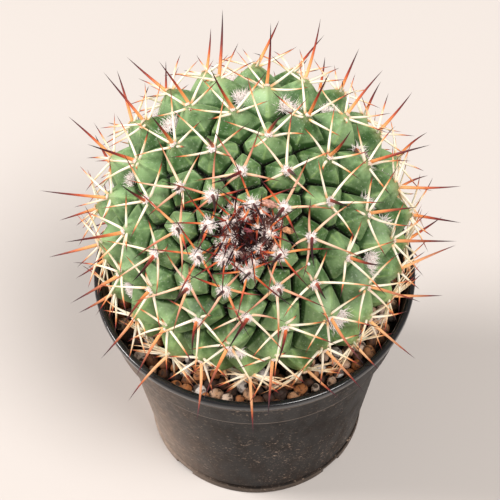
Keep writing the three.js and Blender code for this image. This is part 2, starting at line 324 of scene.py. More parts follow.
def pot_finish(shade):
    """Black plastic, dusty low down, with specks and a clean lip. Its left side carries a painted
    sheen of the side light on the dust; a lighter line runs under the lip, a painted highlight along
    the collar's edge, and the foot ring is painted lighter against the shade near the floor.
    """
    height = shade.along("Z")
    low = 1 - height.between(0.0, DUST_TOP)
    patches = shade.noise(38.0, 3.0).between(0.36, 0.66)
    smears = shade.noise(150.0, 5.0, (1, 1, 0.45)).between(0.40, 0.72)
    flecks = shade.noise(560.0, 2.0, (1, 1, 2.0)).between(0.635, 0.70)
    dots = shade.noise(1250.0, 2.0).between(0.62, 0.70)
    fine = shade.noise(1500.0, 2.0)
    mottle = shade.noise(430.0, 4.0).between(0.44, 0.66)
    haze = 0.03 * smears + low * (0.07 * smears + 0.07 * mottle * patches + 0.02 * mottle)
    base = haze.mix((0.0056, 0.0037, 0.0029), (0.200, 0.130, 0.095))
    # Painted sheen of the side light: the left side is lightened towards a dusty brown, its strength
    # following the dust's streaks and mottle, fading out towards the middle.
    lit_left = (1 - shade.along("X").between(SHEEN_SIDE, 0.0)) ** 1.6
    dust_and_sheen = lit_left * (0.24 + 0.45 * low + 0.25 * smears + 0.25 * mottle)
    with_side_sheen = dust_and_sheen.mix(base, (0.50, 0.382, 0.307))
    specks = (flecks * 0.65 + dots * 0.5) * (0.2 + 0.8 * patches)
    flecked = specks.mix(with_side_sheen, (0.44, 0.32, 0.24))
    # A lighter line under the lip, a painted highlight along the collar's edge, and the foot ring
    # painted a little lighter against the shade that falls on it near the floor.
    foot = 1 - height.between(FOOT_HEIGHT - 0.0002, FOOT_HEIGHT + 0.0002)
    edge_lines = height.band(*UNDER_LIP_LINE) * 0.35 + height.band(*COLLAR_EDGE_HIGHLIGHT) * 0.45 + foot * 0.20
    lined = edge_lines.mix(flecked, (0.40, 0.31, 0.25))
    lip = height.between(lip_foot - 0.0004, lip_foot + 0.0002)
    clean = (lip * 0.95).mix(lined, (0.0075, 0.0085, 0.0105))
    rough = (0.42 + smears * 0.15 + fine * 0.06) * (1 - lip) + lip * 0.26
    relief = (fine * 0.30 + flecks * 0.5 + smears * 0.3) * (1 - lip * 0.9)
    return {"Base_Color": clean, "Roughness": rough, "Coat_Weight": lip,
            "Normal": relief.bump(0.35, 0.0003)}


pot_profile = rounded([
    (0, 0, 0),
    (FLOOR_PAD_RADIUS, 0, 0.0006),
    (FLOOR_PAD_RADIUS + 0.0015, FLOOR_RAISE, 0.0006),
    (foot_inside - 0.001, FLOOR_RAISE, 0.0006),
    (foot_inside, 0, 0.0006),
    (foot_radius, 0, 0.0008),
    (foot_radius, FOOT_HEIGHT, 0.0004),
    (wall_radius(FOOT_HEIGHT) - 0.0005, FOOT_HEIGHT + 0.0005, 0.0003),
    (wall_radius(FOOT_HEIGHT), FOOT_HEIGHT + 0.0015, 0.0005),
    (WALL_TOP_RADIUS, COLLAR_FOOT, 0.0006),
    (COLLAR_FOOT_RADIUS, COLLAR_FOOT, 0.0007),
    (COLLAR_TOP_RADIUS, lip_foot - 0.0005, 0.0003),
    (RIM_RADIUS, lip_foot, 0.0005),
    (RIM_RADIUS, POT_HEIGHT, LIP_ROUNDING),
    (RIM_RADIUS - LIP_WIDTH, POT_HEIGHT, LIP_ROUNDING),
    (mouth_radius(LEDGE), LEDGE, 0.0006),
    (WALL_TOP_RADIUS - WALL, LEDGE, 0.0008),
    (wall_radius(floor_top + 0.002) - WALL, floor_top + 0.002, 0.0008),
    (wall_radius(floor_top) - WALL - 0.002, floor_top, 0.0008),
    (FLOOR_PAD_RADIUS + 0.001, floor_top, 0.0006),
    (FLOOR_PAD_RADIUS - 0.001, WALL, 0.0006),
    (0, WALL, 0),
])
black_plastic = material("black_plastic", pot_finish, Specular_IOR_Level=0.10, Coat_Roughness=0.14)
pot = tidy(mesh_object("pot_moulding", *turned(pot_profile, POT_SIDES), black_plastic))


def cut_out(target, work):
    """Cuts the solids that a bmesh holds out of the target."""
    mesh = bpy.data.meshes.new("cutters")
    work.to_mesh(mesh)
    work.free()
    knife = bpy.data.objects.new("cutters", mesh)
    bpy.context.collection.objects.link(knife)
    cut = target.modifiers.new("cut", "BOOLEAN")
    cut.operation, cut.solver, cut.object = "DIFFERENCE", "EXACT", knife
    bpy.context.view_layer.update()
    shape = target.evaluated_get(bpy.context.evaluated_depsgraph_get())
    cut_mesh = bpy.data.meshes.new_from_object(shape)
    target.modifiers.clear()
    target.data = cut_mesh
    bpy.data.objects.remove(knife)


# The drain holes go through the raised floor, and the notches across the foot ring.
cutters = bmesh.new()
for hole in range(DRAIN_COUNT):
    turn = (hole + 0.5) / DRAIN_COUNT * 2 * pi
    place = Matrix.Translation((DRAIN_CIRCLE * cos(turn), DRAIN_CIRCLE * sin(turn), floor_top))
    bmesh.ops.create_cone(cutters, cap_ends=True, segments=24, radius1=DRAIN_RADIUS,
                          radius2=DRAIN_RADIUS, depth=DRAIN_DEPTH, matrix=place)
notch_height = 2 * FLOOR_RAISE - FOOT_NOTCH_GAP
for angle in FOOT_NOTCH_ANGLES:
    place = (Matrix.Rotation(radians(angle), 4, "Z") @ Matrix.Translation((foot_radius, 0, 0))
             @ Matrix.Diagonal((3 * FOOT_WIDTH, FOOT_NOTCH_WIDTH, notch_height, 1)))
    bmesh.ops.create_cube(cutters, size=1.0, matrix=place)
cut_out(pot, cutters)
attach(pot, "root")
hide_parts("pot")


# The body: a globe of waxy green flesh, packed with four-sided tubercles, one each golden angle
# from the crown outwards. The crown leans towards the light at the front, and the foot stands in
# the granules.
BODY_MIDDLE = np.array([0, 0, 0.1142])
TIP_RADIUS = 0.052
CORE_RADIUS = 0.0432
CROWN_TILT = radians(43.6)
CROWN_TURN = radians(8.6)
CROWN_DIP = 0.0035
CROWN_DIP_SPREAD = 14.0
ROOT_LEVEL = 0.081
GOLDEN_ANGLE = radians(137.4966)
FIRST_ANGLE = radians(130.6)
FIRST_STEP = 0.32
CELL_SHARE = 0.025
RIPENING = 48.4
MOST_TUBERCLES = 400
NEIGHBOURS = 12
RELIEF = 0.56
FADE_HEIGHT = 0.008

TUBERCLE_TURNS = 48
FINE_TURNS = 720
CORNER_SHARPNESS = 34.0
CORNER_CROWDING = 5.0
CORNER_WIDTH = 0.05
KEEL_WIDTH = 0.06
SHOULDER = 0.84
SHOULDER_LEAN = 0.07
TOP_DROP = 0.66
FULL_DROP = 1.02
TOP_BULGE = 1.15
SIDE_BULGE = 0.92
CLOSING_DEPTH = 0.92
FULL_AGE = 70
TOP_RINGS = (0, 0.12, 0.32, 0.56, 0.80, 0.95)
SIDE_RINGS = (0.04, 0.22, 0.45, 0.70, 0.90, 1, 1)


def draw(item, trait):
    """A repeatable draw between -1 and 1 for each item and trait: the far digits of a sine."""
    wave = np.sin(item * 12.9898 + trait * 78.233) * 43758.5453
    return 2 * (wave - np.floor(wave)) - 1


def coverage(step):
    """The part of the globe inside the step'th cell, as one minus a cosine."""
    return CELL_SHARE * (step - RIPENING * (1 - np.exp(-step / RIPENING)))


def cell_width(step):
    """The mean width of a cell at that step."""
    return TIP_RADIUS * np.sqrt(2 * pi * CELL_SHARE * (1 - np.exp(-step / RIPENING)))


def unit(vectors):
    return vectors / np.linalg.norm(vectors, axis=-1, keepdims=True)


def swing(angle, first, second):
    """The direction at an angle from the first one towards the second, which is square to it."""
    return np.cos(angle)[..., None] * first + np.sin(angle)[..., None] * second


def square_to(axis):
    """Two directions square to an axis and to each other."""
    beside = unit(np.array([1.0, 0, 0]) - axis[0] * axis)
    return beside, np.cross(axis, beside)


def angle_between(first, second):
    """The angle between directions: the arc cosine of their product."""
    return np.arccos(np.clip(first @ second, -1, 1))


crown = np.array([-sin(CROWN_TILT) * sin(CROWN_TURN), -sin(CROWN_TILT) * cos(CROWN_TURN),
                  cos(CROWN_TILT)])
index = np.arange(MOST_TUBERCLES)
index = index[coverage(index + FIRST_STEP) < 2]
step = index + FIRST_STEP
polar = np.arccos(np.clip(1 - coverage(step), -1, 1))
sideward = swing(FIRST_ANGLE + index * GOLDEN_ANGLE, *square_to(crown))
normal = swing(polar, crown, sideward)
outward = swing(polar, sideward, -crown)
side = np.cross(normal, outward)


def tip_radius(direction):
    """The tips' distance from the body's middle, less in the sunken crown."""
    off = np.degrees(angle_between(direction, crown))
    return TIP_RADIUS - CROWN_DIP * np.exp(-((off / CROWN_DIP_SPREAD) ** 2))


def growth(direction):
    """How far a tubercle is grown: not at all where the body enters the soil."""
    height = BODY_MIDDLE[2] + direction[..., 2] * TIP_RADIUS
    return np.clip((height - ROOT_LEVEL) / FADE_HEIGHT, 0, 1)


def skin_point(direction, at_step, drop=0.0):
    """A point of the skin, drop being the share of the relief below the tips."""
    grown = tip_radius(direction) - drop * RELIEF * cell_width(at_step)
    radius = CORE_RADIUS + (grown - CORE_RADIUS) * growth(direction)
    return BODY_MIDDLE + radius[..., None] * direction


def cell_sides(bearing):
    """For each bearing round the middle of each cell: one over the distance to the two nearest of
    the straight sides that stand half way to its neighbours, on the plane that touches the globe
    there. A third number sums all sides, so that corners come out a little round."""
    apart = angle_between(normal, normal.T)
    near = np.argsort(apart, axis=1)[:, 1:NEIGHBOURS + 1]
    way = np.take_along_axis(np.arctan2(side @ normal.T, outward @ normal.T), near, axis=1)
    half_way = np.tan(np.take_along_axis(apart, near, axis=1) / 2)
    closeness = np.cos(bearing[:, None] - way[..., None]) / half_way[..., None]
    ranked = np.sort(np.clip(closeness, 1e-6, None), axis=1)
    total = np.sum(ranked ** CORNER_SHARPNESS, axis=1) ** (1 / CORNER_SHARPNESS)
    return ranked[:, -1], ranked[:, -2], total


def copies(faces, points_each, count):
    """The faces of one shape, repeated for each of its copies."""
    return [[corner + k * points_each for corner in face] for k in range(count) for face in faces]


# Each tubercle is a grid of columns round its tip, closer together at the corners of its cell,
# and of rings from the tip over the flat facets and the sharp shoulder down into the groove.
even = np.tile(np.linspace(0, 2 * pi, FINE_TURNS + 1), (len(index), 1))
nearest, second, total = cell_sides(even)
crowded = 1 + CORNER_CROWDING * np.exp(-(((1 - second / nearest) / CORNER_WIDTH) ** 2))
passed = np.cumsum(crowded, axis=1)
passed = (passed - passed[:, :1]) / (passed[:, -1:] - passed[:, :1])
column = np.arange(TUBERCLE_TURNS) / TUBERCLE_TURNS
bearing = np.stack([np.interp(column, passed[k], even[k]) for k in range(len(index))])
nearest, second, total = cell_sides(bearing)
reach = 1 / total
on_top = np.concatenate([TOP_RINGS, np.ones(len(SIDE_RINGS))])[None, :, None]
on_side = np.concatenate([np.zeros(len(TOP_RINGS)), SIDE_RINGS])[None, :, None]
shoulder = (SHOULDER + SHOULDER_LEAN * np.cos(bearing))[:, None]
share = on_top * shoulder + on_side * (1 - shoulder)
drop = TOP_DROP * on_top ** TOP_BULGE + (FULL_DROP - TOP_DROP) * on_side ** SIDE_BULGE
flat_out = share * (reach * np.cos(bearing))[:, None]
flat_side = share * (reach * np.sin(bearing))[:, None]
plane = flat_out[..., None] * outward[:, None, None] + flat_side[..., None] * side[:, None, None]
direction = unit(normal[:, None, None] + plane)
body_points = skin_point(direction, step[:, None, None], drop)
body_points[:, -1] = BODY_MIDDLE + CLOSING_DEPTH * (body_points[:, -2] - BODY_MIDDLE)

ring_count = on_top.size
tubercle_points = ring_count * TUBERCLE_TURNS
closing = list(range(tubercle_points - TUBERCLE_TURNS, tubercle_points))
tubercle_faces = [*grid_faces(ring_count, TUBERCLE_TURNS), closing]
whole = np.ones_like(flat_out)
keel = np.exp(-(((1 - second / nearest) / KEEL_WIDTH) ** 2))[:, None] * whole
outer = (0.5 + 0.5 * np.cos(bearing))[:, None] * whole


def skin_finish(shade):
    """Mottled green with pale keels and white dots. Each facet is darkened downwards with painted
    shade, the flanks more and the grooves to nearly black, and a pale margin along the shoulder is a
    painted highlight. rim is 0 at the tip, 1 at the shoulder and 2 in the groove."""
    rim, keel, outer = shade.value("rim"), shade.value("keel"), shade.value("outer")
    tint, age = shade.value("tint"), shade.value("age")
    cloud = shade.noise(170.0, 5.0)
    fine = shade.noise(1300.0, 3.0)
    dots = shade.noise(1500.0, 1.0).between(0.63, 0.70)
    grain = shade.noise(650.0, 4.0)
    tone = (cloud * 0.64 + grain * 0.20 + tint * 0.16).between(0.34, 0.63)
    cool = tone.mix((0.046, 0.122, 0.027), (0.312, 0.490, 0.222))
    foot = 1 - shade.along("Z").between(0.090, 0.135)
    face = (foot * 0.6).mix(cool, tone.mix((0.070, 0.160, 0.026), (0.365, 0.540, 0.172)))
    # Painted shade: each facet darkens from its tip down to the shoulder.
    facet_shade = (rim.between(0.25, 1.0) * 0.50).mix(face, (0.028, 0.080, 0.016))
    # Painted highlight: a pale line along the shoulder, strongest on the outer side.
    edge_highlight = rim.band(0.88, 0.99, 1.0, 1.10) * (0.3 + outer * 0.7)
    pale = (edge_highlight * 0.55 * cloud.between(0.3, 0.6)).mix(facet_shade, (0.40, 0.56, 0.30))
    line = keel * rim.band(0.25, 0.90, 1.05, 1.6) * (1 - outer * 0.6)
    veined = (line * 0.55 * cloud.between(0.25, 0.55)).mix(pale, (0.36, 0.55, 0.17))
    near_tip = (1 - rim.between(0.08, 0.5)) * age * 0.45
    corky = near_tip.mix(veined, (0.33, 0.27, 0.12))
    # Painted shade: dark down the flanks into the grooves and nearly black deep in them, the more so
    # round young tubercles.
    flank_shade = (rim.between(1.0, 1.20) * 0.86).mix(corky, (0.028, 0.078, 0.016))
    in_groove = (rim + (1 - age.between(0.0, 0.7)) * 0.40).between(1.42, 1.75)
    groove_shaded = in_groove.mix(flank_shade, (0.007, 0.008, 0.004))
    young = 1 - age.between(0.10, 0.40)
    dotted = dots * (0.24 + young * 0.16 + young * rim.between(0.6, 1.0) * 0.50)
    return {"Base_Color": dotted.mix(groove_shaded, (0.60, 0.68, 0.54)), "Roughness": 0.42 + fine * 0.2,
            "Normal": (fine * 0.4 + cloud).bump(0.35, 0.0005)}


waxy_skin = material("waxy_skin", skin_finish, Specular_IOR_Level=0.35, Coat_Weight=0.10,
                     Coat_Roughness=0.32)
body = tidy(mesh_object("cactus_body", body_points, copies(tubercle_faces, tubercle_points, len(index)),
                        waxy_skin, rim=(on_top + on_side) * whole, keel=keel, outer=outer,
                        tint=0.5 + 0.5 * draw(index, 60), age=step / FULL_AGE))
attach(body, "root")
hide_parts("cactus")


# The spines: five stiff radials round each areole and a stouter central one, horny, ivory where
# they are ripe, orange red higher up and nearly black at the point. Their angles are in degrees.
RADIAL = dict(thickness=0.00095, ripens_at=13, ripens_over=13)
SPINES = (
    dict(turn=34, spread=14, length=0.0170, rise=20, **RADIAL),
    dict(turn=-34, spread=14, length=0.0165, rise=20, **RADIAL),
    dict(turn=94, spread=18, length=0.0130, rise=20, **RADIAL),
    dict(turn=-94, spread=18, length=0.0125, rise=20, **RADIAL),
    dict(turn=165, spread=60, length=0.0090, rise=26, **RADIAL),
    dict(turn=0, spread=40, length=0.0195, rise=118, thickness=0.00125, ripens_at=13, ripens_over=26),
)
CENTRAL = len(SPINES) - 1
CENTRAL_SINKS_FROM = 15
CENTRAL_SUNK_AT = 70
CENTRAL_SUNK_RISE = 50
CENTRAL_SIDE_LEAN = 0.3
CENTRAL_FRONT_LEAN = 0.25
SPINE_ROOT = 0.0012
AREOLE_RADIUS = 0.0009
SPINE_CLEARANCE = 0.0012
SPINE_INSET = 0.0025
LOW_ROOT = 0.001
SPINE_BOW = 0.0006
CROWN_STEPS = 10
CROWN_RISE = 62.0
CROWN_LENGTH = 0.5
CROWDED_STEPS = 12
THICK_STEPS = 16
CROWN_THICKNESS = 0.5
THICKNESS_GAIN = 0.42
RIPE_SPREAD = 4
AGED_FROM = 30
AGED_OVER = 50
RISE_SPREAD = 8.0
LENGTH_SPREAD = 0.12
GRANULE_TOP = 0.0824


def draws(item, trait, apart=1):
    """Three draws for each item, as a vector."""
    return np.stack([draw(item, trait + k * apart) for k in range(3)], axis=-1)


def clear_tip(root, tip):
    """The tips of spines, bent clear of the soil and of the pot's rim."""
    rim_clear = POT_HEIGHT + SPINE_CLEARANCE
    inside = RIM_RADIUS - LIP_WIDTH - SPINE_INSET
    outside = RIM_RADIUS + SPINE_CLEARANCE
    bent = tip.copy()
    bent[:, 2] = np.maximum(bent[:, 2], GRANULE_TOP + SPINE_CLEARANCE)
    far = np.hypot(bent[:, 0], bent[:, 1])
    start = np.hypot(root[:, 0], root[:, 1])
    gone = np.maximum(far - start, 1e-9)
    short = np.clip((inside - start) / gone, 0, 1)[:, None]
    crossing = np.where(far > outside, (outside - start) / gone, 1)
    height = root[:, 2] + (bent[:, 2] - root[:, 2]) * crossing
    raised = np.where(height < rim_clear, root[:, 2] + (rim_clear - root[:, 2]) / crossing, bent[:, 2])
    lifted = np.column_stack([bent[:, :2], raised])
    low = (root[:, 2] < rim_clear + LOW_ROOT)[:, None]
    past = (far > inside)[:, None]
    return np.where(past, np.where(low, root + (bent - root) * short, lifted), bent)


def spines_of(rule, trait, chosen):
    """One spine of each chosen tubercle: roots, tips, thickness and what their colour follows."""
    item, age = index[chosen], step[chosen]
    central = float(trait == CENTRAL)
    opened = np.clip(age / CROWN_STEPS, 0, 1)
    sunk = np.clip((age - CENTRAL_SINKS_FROM) / (CENTRAL_SUNK_AT - CENTRAL_SINKS_FROM), 0, 1)
    settled = rule["rise"] + (CENTRAL_SUNK_RISE - rule["rise"]) * central * sunk
    round_areole = radians(rule["turn"]) + radians(rule["spread"]) * draw(item, trait)
    rise = np.radians(CROWN_RISE + (settled - CROWN_RISE) * opened
                      + RISE_SPREAD * draw(item, trait + 10))
    length = (rule["length"] * (CROWN_LENGTH + (1 - CROWN_LENGTH) * opened)
              * (1 + LENGTH_SPREAD * draw(item, trait + 20)))
    flat = swing(round_areole, outward[chosen], side[chosen])
    lean = central * CENTRAL_SIDE_LEAN * draw(item, trait + 30)
    way = swing(rise, flat, normal[chosen]) + lean[:, None] * side[chosen]
    way = unit(way + central * CENTRAL_FRONT_LEAN * (1 - sunk)[:, None] * np.array([0, -1.0, 0]))
    root = skin_point(normal[chosen], age) - SPINE_ROOT * normal[chosen] + AREOLE_RADIUS * flat
    slim = CROWN_THICKNESS + THICKNESS_GAIN * np.clip(age / THICK_STEPS, 0, 1)
    ripe = (age - rule["ripens_at"] + RIPE_SPREAD * draw(item, trait + 75)) / rule["ripens_over"]
    sunward = np.clip(-1.6 * normal[chosen, 1] - 0.3, 0, 1)
    return dict(root=root, tip=clear_tip(root, root + length[:, None] * way),
                thickness=slim * rule["thickness"], central=np.full(len(item), central),
                tint=0.5 + 0.5 * draw(item, trait + 70), ripe=np.clip(ripe, 0, 1),
                crowded=np.clip(1 - age / CROWDED_STEPS, 0, 1),
                aged=np.clip((age - AGED_FROM) / AGED_OVER, 0, 1) * sunward)


def needle_object(name, root, tip, thickness, bow, rings, sides, made_of, **values):
    """Tapered tubes from roots to tips, as one object. Each bows by a vector in its middle, is full
    and round for most of its length, and narrows to its point. run rises from 0 to 1 along it."""
    run = np.linspace(0, 1, rings)
    bow = np.broadcast_to(bow, root.shape)
    middle = (root[:, None] + (tip - root)[:, None] * run[:, None]
              + 4 * bow[:, None] * (run * (1 - run))[:, None])
    aim = unit(tip - root)
    beside = unit(np.cross(aim, aim[:, [1, 2, 0]]))
    turns = np.arange(sides) * 2 * pi / sides
    round_way = swing(turns, beside[:, None], np.cross(aim, beside)[:, None])
    width = 0.5 * (thickness * np.ones(len(root)))[:, None] * (1 - run ** 1.6) ** 0.9
    width[:, -1] = 1e-6
    points = middle[:, :, None] + width[..., None, None] * round_way[:, None]
    ends = [list(range(sides))[::-1], list(range((rings - 1) * sides, rings * sides))]
    faces = copies(grid_faces(rings, sides) + ends, rings * sides, len(root))
    return mesh_object(name, points, faces, made_of,
                       run=np.broadcast_to(run[:, None], points.shape[:3]), **values)


def spine_finish(shade):
    """Colours along the spine, for young and ripe radials, centrals, and bleached old centrals, the
    same colour also given as a faint painted glow.
    """
    run, ripe, tint = shade.value("run"), shade.value("ripe"), shade.value("tint")
    central, crowded, aged = shade.value("central"), shade.value("crowded"), shade.value("aged")
    grain = shade.noise(900.0, 2.0)
    shift = run + (tint - 0.5) * 0.2 + (grain - 0.5) * 0.10
    young = (shift + crowded * 0.45).ramp([
        (0.00, (0.90, 0.47, 0.20)), (0.26, (0.84, 0.27, 0.08)), (0.47, (0.50, 0.060, 0.022)),
        (0.65, (0.13, 0.012, 0.012)), (0.84, (0.020, 0.006, 0.010))])
    mature = shift.ramp([
        (0.00, (0.88, 0.52, 0.26)), (0.09, (0.96, 0.84, 0.64)), (0.30, (0.98, 0.91, 0.77)),
        (0.54, (0.95, 0.74, 0.48)), (0.68, (0.82, 0.30, 0.10)), (0.79, (0.34, 0.036, 0.022)),
        (0.90, (0.040, 0.010, 0.014))])
    stout = (shift * 0.8 + 0.2 + (1 - ripe) * 0.42 + crowded * 0.1).ramp([
        (0.00, (0.94, 0.64, 0.34)), (0.18, (0.90, 0.48, 0.20)), (0.38, (0.82, 0.29, 0.085)),
        (0.52, (0.52, 0.092, 0.032)), (0.65, (0.21, 0.026, 0.021)), (0.80, (0.075, 0.012, 0.017)),
        (0.97, (0.020, 0.007, 0.012))])
    faded = shift.ramp([
        (0.00, (0.90, 0.50, 0.18)), (0.08, (0.96, 0.62, 0.33)), (0.46, (0.96, 0.60, 0.31)),
        (0.60, (0.80, 0.25, 0.08)), (0.70, (0.36, 0.050, 0.030)), (0.80, (0.10, 0.020, 0.030)),
        (0.95, (0.028, 0.012, 0.020))])
    base = central.mix(ripe.mix(young, mature), aged.mix(stout, faded))
    return {"Base_Color": base, "Emission_Color": base, "Roughness": 0.34 + grain * 0.2}


# The horn glows faintly in its own colour: painted light, in place of light passing through it.
spine_horn = material("spine_horn", spine_finish, Specular_IOR_Level=0.3, Emission_Strength=0.10)
spined = np.flatnonzero(growth(normal) > 0.5)
spine_sets = [spines_of(rule, trait, spined) for trait, rule in enumerate(SPINES)]
joined = {key: np.concatenate([one[key] for one in spine_sets]) for key in spine_sets[0]}
spine_bow = SPINE_BOW * draws(np.arange(len(joined["root"])), 80)
spines = needle_object("spines", bow=spine_bow, rings=9, sides=6, made_of=spine_horn, **joined)
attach(spines, "root")
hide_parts("cactus")


# The wool: each areole bears a tuft of short white felt on a cushion, large and bright round the
# crown and worn away on the old ones. Looser hairs fill the crown and some of the grooves. Places
# are degrees off the crown and round it, and each tuft in a groove has its fullness as well.
WOOL_HAIRS = 140
TUFT_RADIUS = 0.0015
TUFT_HAIR = 0.0021
TUFT_SINK = 0.0002
HAIR_THICKNESS = 0.00029
HAIR_BOW = 0.00022
CUSHION_RADIUS = 0.0012
CUSHION_HEIGHT = 0.55
GROWING_POINT = (3.7, 15.8)
YOUNG_AREOLES = 14
YOUNG_FROM = 4.2
YOUNG_TO = 11.5
YOUNG_FIRST_TURN = 40
FELT_RISE = 0.0002
FELT_DROP = 0.0034
FELT_DROPS_FROM = 7.5
FELT_DROPS_OVER = 4
AXIL_WOOL = (
    (59, 126, 0.9), (57, 156, 0.6), (59, 70, 1.0), (71, 53, 0.9), (58, -16, 1.1), (58, -45, 1.0),
    (55, -95, 0.65), (65, -153, 0.6), (61, 89, 0.9), (55, 11, 0.8), (66, -1, 0.9), (64, 31, 1.0),
    (76, 18, 0.6), (88, 100, 1.0), (86, 172, 1.0), (97, -20, 1.0), (104, 60, 1.0), (100, 135, 1.0),
)
AXIL_HAIRS = 260
AXIL_RADIUS = 0.0462
AXIL_LENGTH = 0.0034
AXIL_WIDTH = 0.0018
AXIL_HAIR = 0.0032
AXIL_HAIR_SPREAD = 0.0014
AXIL_TANGLE = 1.7
AXIL_CURL = 2.4
CROWN_HAIRS = 600
CROWN_WOOL_TO = 13.0
CROWN_HAIR = 0.0013
CROWN_HAIR_SPREAD = 0.0005
CROWN_HAIR_SINK = 0.0003
CROWN_TANGLE = 1.1


def wool_finish(shade):
    speck = shade.noise(2600.0, 1.0).between(0.30, 0.42)
    white = speck.mix((0.55, 0.38, 0.34), (0.96, 0.89, 0.87))
    colour = shade.value("fade").mix(white, (0.80, 0.58, 0.38))
    return {"Base_Color": colour, "Emission_Color": colour}


def round_axis(axis, off, turn):
    """The direction off degrees from an axis and turn degrees round it."""
    return swing(np.radians(off), axis, swing(np.radians(turn), *square_to(axis)))


def filled_ring(inner, outer, count):
    """Distances from the middle at which count items fill a ring evenly."""
    return np.sqrt(inner ** 2 + (outer ** 2 - inner ** 2) * (np.arange(count) + 0.5) / count)


growing_point = round_axis(crown, *np.array(GROWING_POINT))


def from_growing_point(way):
    """How many degrees a direction lies off the growing point."""
    return np.degrees(angle_between(way, growing_point))


def felt_height(way):
    """The felt's distance from the body's middle: over the first tubercles, and down between the
    next ones."""
    outside = np.clip((from_growing_point(way) - FELT_DROPS_FROM) / FELT_DROPS_OVER, 0, 1)
    return tip_radius(way) + FELT_RISE - FELT_DROP * outside ** 1.5


def tuft_growth(item):
    """The size of a tuft: small in the crown, full just outside it, and worn away with age."""
    grown = np.clip(0.30 + (from_growing_point(normal[item]) - 7) / 4, 0.30, 1)
    return grown * np.clip(1.30 - step[item] / 40, 0.30, 1.12)


young_off = filled_ring(YOUNG_FROM, YOUNG_TO, YOUNG_AREOLES)
young_turn = np.degrees(np.arange(YOUNG_AREOLES) * GOLDEN_ANGLE) + YOUNG_FIRST_TURN
young_up = round_axis(growing_point, young_off, young_turn)
young_middle = BODY_MIDDLE + felt_height(young_up)[:, None] * young_up
young_out = unit(np.cross(np.cross(growing_point, young_up), young_up))
tuft_middle, tuft_up, tuft_out, tuft_size, tuft_fade = (np.concatenate(both) for both in (
    (skin_point(normal[spined], step[spined]), young_middle),
    (normal[spined], young_up),
    (outward[spined], young_out),
    (tuft_growth(spined), 0.45 + 0.45 * young_off / YOUNG_TO),
    (np.clip((step[spined] - 28) / 45, 0, 1), np.full(YOUNG_AREOLES, 0.1))))
tuft_beside = np.cross(tuft_up, tuft_out)

tuft = np.repeat(np.arange(len(tuft_size)), WOOL_HAIRS)
strand = np.arange(len(tuft)) + 1000
size = tuft_size[tuft][:, None]
spot = draw(strand, 1)[:, None] * tuft_out[tuft] + draw(strand, 2)[:, None] * tuft_beside[tuft]
spot = spot / np.maximum(1, np.linalg.norm(spot, axis=1, keepdims=True))
tuft_root = tuft_middle[tuft] - TUFT_SINK * tuft_up[tuft] + size * TUFT_RADIUS * spot
tuft_way = unit(0.85 * tuft_up[tuft] + spot + 0.8 * unit(draws(strand, 3)))
tuft_tip = tuft_root + size * TUFT_HAIR * (0.8 + 0.35 * draw(strand, 6))[:, None] * tuft_way

axil_off, axil_turn, fullness = np.array(AXIL_WOOL).T
axil_up = round_axis(crown, axil_off, axil_turn)
axil_beside = unit(np.cross(axil_up, crown))
axil = np.repeat(np.arange(len(AXIL_WOOL)), AXIL_HAIRS)
strand = np.arange(len(axil)) + 9000
spot = (AXIL_LENGTH * draw(strand, 1)[:, None] * axil_beside[axil]
        + AXIL_WIDTH * draw(strand, 2)[:, None] * np.cross(axil_up, axil_beside)[axil])
fullness = fullness[axil][:, None]
axil_root = BODY_MIDDLE + AXIL_RADIUS * axil_up[axil] + fullness * spot
axil_way = unit(axil_up[axil] + AXIL_TANGLE * draws(strand, 3))
axil_hair = (AXIL_HAIR + AXIL_HAIR_SPREAD * draw(strand, 6))[:, None]
axil_tip = axil_root + fullness * axil_hair * axil_way

# The hairs of the crown fill a ring round the growing point, and leave bare patches in it.
strand = np.arange(CROWN_HAIRS) + 20000
off = filled_ring(YOUNG_FROM, CROWN_WOOL_TO, CROWN_HAIRS)
turn = np.degrees(strand * GOLDEN_ANGLE) + 20 * draw(strand, 2)
clumped = np.sin(np.radians(5 * turn) + off) * np.sin(0.9 * off + np.radians(3 * turn)) > -0.25
strand, off, turn = strand[clumped], off[clumped], turn[clumped]
crown_up = round_axis(growing_point, off + 0.8 * draw(strand, 1), turn)
crown_root = BODY_MIDDLE + (felt_height(crown_up) - CROWN_HAIR_SINK)[:, None] * crown_up
crown_way = unit(crown_up + CROWN_TANGLE * draws(strand, 5))
crown_tip = crown_root + (CROWN_HAIR + CROWN_HAIR_SPREAD * draw(strand, 4))[:, None] * crown_way

hair_root = np.concatenate([axil_root, crown_root])
hair_tip = np.concatenate([axil_tip, crown_tip])
strand = np.arange(len(hair_root))
hair_bow = HAIR_BOW * draws(strand, 11)
hair_bow[:len(axil)] *= AXIL_CURL
crown_fade = 0.30 + 0.2 * draw(strand[:len(crown_root)], 7)
hair_fade = np.concatenate([np.full(len(axil), 0.05), crown_fade])


def icosphere(levels):
    """Points and faces of a ball of radius 1."""
    work = bmesh.new()
    bmesh.ops.create_icosphere(work, subdivisions=levels, radius=1.0)
    points = np.array([v.co for v in work.verts])
    faces = [[v.index for v in f.verts] for f in work.faces]
    work.free()
    return points, faces


pad, pad_faces = icosphere(2)
lump = 1 + 0.16 * np.sin(5 * pad[:, 0] + 7 * pad[:, 1] + 6 * pad[:, 2])
pad_way = (pad[:, :1] * tuft_out[:, None] + pad[:, 1:2] * tuft_beside[:, None]
           + CUSHION_HEIGHT * pad[:, 2:] * tuft_up[:, None])
pad_points = (tuft_middle[:, None]
              + (CUSHION_RADIUS * tuft_size)[:, None, None] * lump[:, None] * pad_way)

